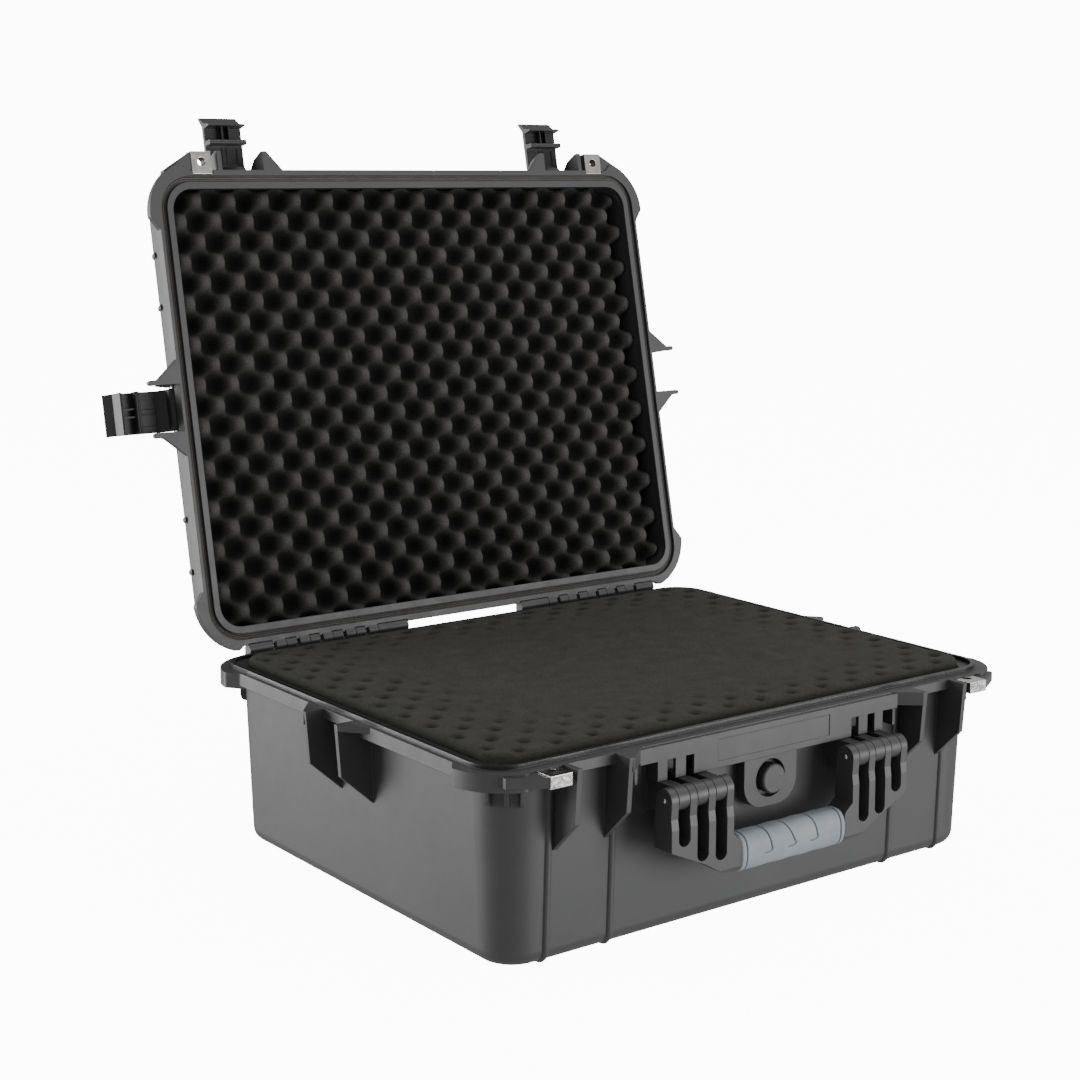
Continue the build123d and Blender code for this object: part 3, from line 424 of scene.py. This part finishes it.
# Painted shade: dark in the pits between the lid's knobs, and in the base pad's dents and at its outline.
KNOB_SHADE = [(0.0, grey(0.12)), (0.45, grey(0.30)), (0.80, grey(0.78)), (1.0, grey(1.0))]
DENT_SHADE = [(0.0, grey(0.45)), (1.0, grey(1.0))]
lid_foam_mat = foam_material("lid_foam", (0.022, 0.0216, 0.021), (0.074, 0.072, 0.069), KNOB_SHADE)
base_foam_mat = foam_material("base_foam", (0.026, 0.0257, 0.0226), (0.066, 0.0655, 0.0585), DENT_SHADE)
seal_mat = rubber_material(
    "seal_rubber", (0.034, 0.031, 0.027), (0.050, 0.046, 0.041), rough=(0.36, 0.50), lined=True
)
grip_mat = rubber_material("grip_rubber", (0.185, 0.205, 0.225), (0.220, 0.240, 0.262), grooved=True)
steel = steel_material("bright_steel", (0.62, 0.605, 0.575), (0.10, 0.26))

by_slot = {
    "shell_plastic": shell,
    "latch_plastic": latch_plastic,
    "valve_plastic": valve_plastic,
    "foam": base_foam_mat,
    "seal_rubber": seal_mat,
    "grip_rubber": grip_mat,
    "steel": steel,
}
by_node = {"base_shell": base_shell, "lid_shell": lid_shell}
for part in frame["record"]["subparts"]:
    for material_slot in nodes[part["node"]].material_slots:
        material_slot.material = by_node.get(part["node"], by_slot[part["material_slot"]])


# ------------------------------------------------------------------ shared by the pieces
def new_object(name, mesh, material, body, replaced=(), smooth=True):
    """Piece that rides on a body, in the place of the replaced nodes."""
    for polygon in mesh.polygons:
        polygon.use_smooth = smooth
    mesh.materials.append(material)
    obj = placed(name, mesh)
    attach(obj, body)
    if replaced:
        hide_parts(*replaced)
    return obj


def closed_box(node):
    """Box of a lid node with the lid closed."""
    points = np.array([close_turn @ v.co for v in nodes[node].data.vertices])
    return points.min(axis=0), points.max(axis=0)


# ------------------------------------------------------------------ foam pads
# Egg-crate lattice: size of one repeat across and half a repeat along, and the place of one head
PITCH_X, PITCH_Y = 0.0340, 0.0184
HEAD_X, HEAD_Y = -0.0043, 0.0161
KNOB_HEIGHT = 0.018
# Grid lines near a pad's outline, and the extra ones across the shelf of the base's pad
EDGES = [0.0, 0.0004, 0.0012, 0.0024, 0.0040]
SHELF_EDGES = EDGES + [0.0060, 0.0065, 0.0068, 0.0074, 0.0084, 0.0098]
SHELF, SHELF_Z = 0.0067, 0.1558
LID_FOAM_CORNER, BASE_FOAM_CORNER, PAD_CORNER = 0.030, 0.026, 0.0230
LID_FOAM_STEP, BASE_FOAM_STEP, HIDDEN_FOAM_STEP = 0.0016, 0.0020, 0.012
# Space between a visual pad and the CAD's foam at the sides and the back
FOAM_SIDE_GAP, HIDDEN_SIDE_GAP, BACK_GAP = 0.0003, 0.004, 0.0002
BASE_ROLL, HIDDEN_ROLL = 0.0045, 0.004
DENT_DEPTH = 0.0034
SWAY, SURFACE_WAVE = 0.0007, 0.0004
LID_EDGE, LID_EDGE_DROP = 0.003, 0.0025


def spaced(half, step, edges):
    """Grid lines over one side: fine steps at the edge, even ones inside."""
    inner = half - edges[-1]
    count = max(2, round(2 * inner / step))
    middle = np.linspace(-inner, inner, count + 1)
    return np.concatenate([-half + np.array(edges[:-1]), middle, half - np.array(edges[:-1])[::-1]])


def from_core(X, Y, half_x, half_y, radius):
    """Two parts of the distance from a rounded rectangle's core line: beyond it, and within it (negative)."""
    qx, qy = np.abs(X) - (half_x - radius), np.abs(Y) - (half_y - radius)
    return np.hypot(np.maximum(qx, 0), np.maximum(qy, 0)), np.minimum(np.maximum(qx, qy), 0)


def rounded_grid(half_x, half_y, radius, step, edges):
    """Grid of points whose outer line is a rounded rectangle, with each point's distance from that line."""
    X, Y = np.meshgrid(spaced(half_x, step, edges), spaced(half_y, step, edges), indexing="ij")
    s = (np.abs(X) - (half_x - radius)) / radius
    t = (np.abs(Y) - (half_y - radius)) / radius
    corner = (s > 0) & (t > 0)
    s2 = np.where(corner, s * np.sqrt(np.clip(1 - t * t / 2, 0, 1)), s)
    t2 = np.where(corner, t * np.sqrt(np.clip(1 - s * s / 2, 0, 1)), t)
    X2 = np.where(corner, np.sign(X) * (half_x - radius + s2 * radius), X)
    Y2 = np.where(corner, np.sign(Y) * (half_y - radius + t2 * radius), Y)
    beyond, within = from_core(X2, Y2, half_x, half_y, radius)
    return X2, Y2, np.maximum(radius - (beyond + within), 0)


def rolled_edge(edge, roll):
    """How far a rounded edge lies below the pad's top at each distance from the outline."""
    return roll - np.sqrt(np.clip(roll ** 2 - (roll - np.minimum(edge, roll)) ** 2, 0, None))


def pad_mesh(name, X, Y, Z, height, z_back, place, back_inset):
    """Closed pad: the height field Z(X, Y), straight sides, a flat back at z_back, and a shade per point."""
    nx, ny = X.shape
    points = [place @ Vector(p) for p in zip(X.ravel(), Y.ravel(), Z.ravel())]
    faces = []
    up = Z.mean() > z_back
    for i, j in itertools.product(range(nx - 1), range(ny - 1)):
        a, b, c, d = i * ny + j, (i + 1) * ny + j, (i + 1) * ny + j + 1, i * ny + j + 1
        faces.append((a, b, c, d) if up else (d, c, b, a))
    rim = [i * ny for i in range(nx)] + [(nx - 1) * ny + j for j in range(1, ny)]
    rim += [i * ny + ny - 1 for i in range(nx - 2, -1, -1)] + [j for j in range(ny - 2, 0, -1)]
    start = len(points)
    x, y = X.ravel()[rim], Y.ravel()[rim]
    scale_x = 1 - back_inset / np.abs(x).max()
    scale_y = 1 - back_inset / np.abs(y).max()
    points += [place @ Vector((px * scale_x, py * scale_y, z_back)) for px, py in zip(x, y)]
    points.append(place @ Vector((0, 0, z_back)))
    centre = len(points) - 1
    count = len(rim)
    for k in range(count):
        k2 = (k + 1) % count
        side = (rim[k], start + k, start + k2, rim[k2])
        fan = (start + k, centre, start + k2)
        faces.append(side if up else side[::-1])
        faces.append(fan if up else fan[::-1])
    mesh = bpy.data.meshes.new(name)
    mesh.from_pydata(points, [], faces)
    # Points on the sides and back get a low share: painted shade on the pad's sides.
    values = np.full(len(points), 0.3)
    values[:X.size] = height.ravel()
    mesh.attributes.new("height", "FLOAT", "POINT").data.foreach_set("value", values)
    mesh.validate()
    return mesh


def smooth_noise(X, Y, scale, seed):
    """Soft random field between about -1 and 1."""
    rng = np.random.default_rng(seed)
    field = np.zeros_like(X)
    for _ in range(10):
        angle, phase = rng.uniform(0, 2 * math.pi, 2)
        k = 2 * math.pi / scale * rng.uniform(0.6, 1.5)
        field += np.sin(k * (X * math.cos(angle) + Y * math.sin(angle)) + phase)
    return field / 4.5


def checker(X, Y):
    """Smooth staggered pattern: 1 on a knob's head, -1 in the pit beside it, 0 where four of them meet."""
    return np.cos(math.pi * (X - HEAD_X) / (PITCH_X / 2)) * np.cos(math.pi * (Y - HEAD_Y) / PITCH_Y)


def make_lid_foam():
    """Egg-crate pad: full, rounded-square heads and deep pits."""
    low, high = closed_box("lid_foam")
    half_x, half_y = high[0] - FOAM_SIDE_GAP, high[1] - FOAM_SIDE_GAP
    X, Y, edge = rounded_grid(half_x, half_y, LID_FOAM_CORNER, LID_FOAM_STEP, EDGES)
    sway_x, sway_y = SWAY * smooth_noise(X, Y, 0.06, 3), SWAY * smooth_noise(X, Y, 0.06, 4)
    wave = checker(X + sway_x, Y + sway_y)
    share = 0.5 + 0.5 * np.sign(wave) * (1 - (1 - np.abs(wave)) ** 1.7)
    depth = KNOB_HEIGHT * (1 - share)
    depth += LID_EDGE_DROP * (1 - np.clip(edge / LID_EDGE, 0, 1)) ** 2
    Z = low[2] + depth + SURFACE_WAVE * smooth_noise(X, Y, 0.03, 5) + 0.0003
    Z = np.maximum(Z, low[2])
    # The head share goes on each point, and the material turns it into painted shade in the pits.
    mesh = pad_mesh("lid_foam_pad", X, Y, Z, share, high[2] - 0.0005, open_turn, 0.006)
    foam = new_object("lid_foam_pad", mesh, lid_foam_mat, "lid", ("lid_foam",))


def make_base_foam():
    """Flat pad with the dents of the knobs above it in its border, and a shelf that clears the lid's lip."""
    low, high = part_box("base_foam_top")
    half_x, half_y = high[0] - FOAM_SIDE_GAP, high[1] - FOAM_SIDE_GAP
    X, Y, _ = rounded_grid(half_x, half_y, BASE_FOAM_CORNER, BASE_FOAM_STEP, SHELF_EDGES)
    beyond, within = from_core(X, Y, half_x, half_y - SHELF, PAD_CORNER)
    inside = PAD_CORNER - beyond - within
    edge = np.maximum(inside, 0)
    # Dents: deep along the border, reaching further in at the left and the front
    dent = np.clip((checker(X - 0.002, Y - 0.001) - 0.15) / 0.85, 0, 1) ** 1.4
    worn = smooth_noise(X, Y, 0.13, 11)
    from_left, from_front = X + half_x, Y + half_y
    reach = np.minimum(edge, np.minimum(from_left * 0.62, from_front * 0.85))
    mask = np.clip(1.25 - reach / (0.052 + 0.016 * worn), 0, 1) * np.clip(edge / 0.010, 0, 1)
    pressed = dent * mask
    Z = high[2] - 0.0006 - rolled_edge(edge, BASE_ROLL) - DENT_DEPTH * pressed
    Z = Z + SURFACE_WAVE * smooth_noise(X, Y, 0.06, 7)
    Z = np.where(inside > 0, np.minimum(Z, high[2]), SHELF_Z)
    # Painted shade: darker in the dents and towards the pad's outline.
    shade = np.clip(1 - 1.1 * pressed, 0, 1) * np.clip(0.2 + edge / 0.007, 0, 1)
    mesh = pad_mesh("base_foam_pad", X, Y, Z, shade, low[2] + BACK_GAP, Matrix.Identity(4), 0.004)
    foam = new_object("base_foam_pad", mesh, base_foam_mat, "base", ("base_foam_top",))


def make_hidden_foam():
    """Plain pads for the layers below the top one."""
    for node in ("base_foam_middle", "base_foam_bottom"):
        low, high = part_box(node)
        half_x, half_y = high[0] - HIDDEN_SIDE_GAP, high[1] - HIDDEN_SIDE_GAP
        X, Y, edge = rounded_grid(half_x, half_y, BASE_FOAM_CORNER, HIDDEN_FOAM_STEP, EDGES)
        Z = high[2] - 0.0004 - rolled_edge(edge, HIDDEN_ROLL) + SURFACE_WAVE * smooth_noise(X, Y, 0.06, 9)
        Z = np.minimum(Z, high[2])
        flat = np.ones_like(X)
        mesh = pad_mesh(node + "_pad", X, Y, Z, flat, low[2] + BACK_GAP, Matrix.Identity(4), 0.009)
        foam = new_object(node + "_pad", mesh, base_foam_mat, "base", (node,))


# ------------------------------------------------------------------ grip
GRIP_HALF_DEPTH, GRIP_HALF_HEIGHT, GRIP_RAISED = 0.0128, 0.0151, 0.0008
GRIP_STATIONS, GRIP_AROUND, GRIP_SQUARENESS = 331, 192, 0.78
GRIP_WAVE, GRIP_WAVE_X, GRIP_WAVE_PITCH = 0.014, 0.0120, 0.0245
GRIP_BEVEL, GRIP_BEVEL_SHARE, COLLAR_IN = 0.0022, 0.10, 0.0048
GROOVE_WIDTH, GROOVE_DEPTH = 0.0008, 0.0013
# Finger grooves: x at the bottom and at the top, then the hook's bend, its end and its height
HOOKS = [(-0.0235, -0.0265), (0.0015, -0.0045), (0.0250, 0.0225)]
HOOK_BEND, HOOK_TAIL, HOOK_Z = 0.0035, 0.0085, -0.0025
# The grooves end on top of the grip, this far behind its middle
HOOK_REAR_Y = 0.007


def groove(distance):
    """Depth of a groove at this distance from its middle."""
    return GROOVE_DEPTH * max(0.0, 1 - (distance / GROOVE_WIDTH) ** 2)


def hook_cut(x, z):
    """Depth of the nearest finger groove."""
    cut = 0.0
    for bottom_x, top_x in HOOKS:
        if z > HOOK_Z + HOOK_BEND:
            line_x = bottom_x + (top_x - bottom_x) * max(0.0, z - HOOK_Z) / GRIP_HALF_HEIGHT
            cut = max(cut, groove(abs(x - line_x)))
        elif z > HOOK_Z - GROOVE_WIDTH and x > bottom_x - HOOK_BEND:
            from_bend = math.hypot(x - (bottom_x - HOOK_BEND), z - (HOOK_Z + HOOK_BEND))
            cut = max(cut, groove(abs(from_bend - HOOK_BEND)))
        if bottom_x - HOOK_TAIL < x <= bottom_x - HOOK_BEND:
            cut = max(cut, groove(abs(z - HOOK_Z)))
    return cut


def make_grip():
    """Rubber sleeve: bevelled ends, a collar line near each and three hooked finger grooves in front."""
    low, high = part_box("handle_grip")
    middle = [(a + b) / 2 for a, b in zip(low, high)]
    middle[2] += GRIP_RAISED
    half = (high[0] - low[0]) / 2
    ends = half * np.array([-0.998, -0.995, 0.995, 0.998])
    stations = np.unique(np.concatenate([np.linspace(-half, half, GRIP_STATIONS), ends]))
    points, heights = [], []
    for x in stations:
        swing = 1 - math.cos(2 * math.pi * (x + GRIP_WAVE_X) / GRIP_WAVE_PITCH)
        wave = 1.0 - GRIP_WAVE * swing * (1 - (abs(x) / half) ** 4)
        bevel = max(0.0, (abs(x) - (half - GRIP_BEVEL)) / GRIP_BEVEL)
        size = wave * (1 - GRIP_BEVEL_SHARE * (1 - math.sqrt(max(0.0, 1 - bevel ** 2))))
        collar = groove(abs(abs(x) - (half - COLLAR_IN)))
        for k in range(GRIP_AROUND):
            a = 2 * math.pi * k / GRIP_AROUND
            ca, sa = math.cos(a), math.sin(a)
            y = GRIP_HALF_DEPTH * size * math.copysign(abs(ca) ** GRIP_SQUARENESS, ca)
            z = GRIP_HALF_HEIGHT * size * math.copysign(abs(sa) ** GRIP_SQUARENESS, sa)
            cut = max(collar, hook_cut(x, z)) if y < HOOK_REAR_Y else collar
            scale = 1 - cut / math.hypot(y, z)
            points.append((middle[0] + x, middle[1] + y * scale, middle[2] + z * scale))
            # Groove share per point, which the material turns into painted shade in the grooves and collar lines.
            heights.append(1 - cut / GROOVE_DEPTH)
    last = (len(stations) - 1) * GRIP_AROUND
    faces = []
    for i, k in itertools.product(range(0, last, GRIP_AROUND), range(GRIP_AROUND)):
        k2 = (k + 1) % GRIP_AROUND
        faces.append((i + k, i + k2, i + GRIP_AROUND + k2, i + GRIP_AROUND + k))
    faces.append(tuple(range(GRIP_AROUND)))
    faces.append(tuple(reversed(range(last, last + GRIP_AROUND))))
    mesh = bpy.data.meshes.new("grip_sleeve")
    mesh.from_pydata(points, [], faces)
    mesh.attributes.new("height", "FLOAT", "POINT").data.foreach_set("value", heights)
    mesh.flip_normals()
    mesh.validate()
    new_object("grip_sleeve", mesh, grip_mat, "handle", ("handle_grip",))


# ------------------------------------------------------------------ small forms
# Middle of the base's corner curve, and the outline of a rib as distance from it and height
CORNER_X, CORNER_Y = 0.218, 0.1683
CORNER_RIB_ANGLES = (26.0, 48.0, 65.0)
CORNER_RIB_WIDTH = 0.0032
CORNER_RIB = [
    (0.0340, 0.1460), (0.0402, 0.1460), (0.0402, 0.1300), (0.0397, 0.1278),
    (0.0384, 0.1261), (0.0364, 0.1252), (0.0340, 0.1248),
]
PIN_HEAD_RADIUS, PIN_HEAD_FLATNESS, PIN_HEAD_OUT = 0.0021, 0.5, 0.0002


def make_corner_ribs():
    """Three short ribs below each corner bumper, with rounded lower ends."""
    work = bmesh.new()
    count = len(CORNER_RIB)
    for side_x, side_y, angle in itertools.product((-1, 1), (-1, 1), CORNER_RIB_ANGLES):
        a = math.radians(angle)
        out = Vector((side_x * math.cos(a), side_y * math.sin(a), 0))
        along = Vector((0, 0, 1)).cross(out) * (CORNER_RIB_WIDTH / 2)
        centre = Vector((side_x * CORNER_X, side_y * CORNER_Y, 0))
        outline = [centre + out * reach + Vector((0, 0, z)) for reach, z in CORNER_RIB]
        first = [work.verts.new(p - along) for p in outline]
        second = [work.verts.new(p + along) for p in outline]
        work.faces.new(first)
        work.faces.new(second[::-1])
        for k in range(count):
            k2 = (k + 1) % count
            work.faces.new((first[k2], first[k], second[k], second[k2]))
    bmesh.ops.recalc_face_normals(work, faces=work.faces)
    new_object("corner_ribs", worked_mesh("corner_ribs", work), shell, "base", smooth=False)


def make_pin_heads():
    """Domed end on both ends of each handle pin."""
    work = bmesh.new()
    flat = Matrix.Diagonal((PIN_HEAD_FLATNESS, 1, 1, 1))
    for node in ("handle_pin_left", "handle_pin_right"):
        low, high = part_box(node)
        y, z = (low[1] + high[1]) / 2, (low[2] + high[2]) / 2
        for x in (low[0] - PIN_HEAD_OUT, high[0] + PIN_HEAD_OUT):
            place = Matrix.Translation((x, y, z)) @ flat
            bmesh.ops.create_uvsphere(
                work, u_segments=24, v_segments=12, radius=PIN_HEAD_RADIUS, matrix=place,
            )
    new_object("handle_pin_heads", worked_mesh("handle_pin_heads", work), steel, "base")


make_camera()
make_stage()
make_lights()
make_lid_foam()
make_base_foam()
make_hidden_foam()
make_grip()
make_corner_ribs()
make_pin_heads()
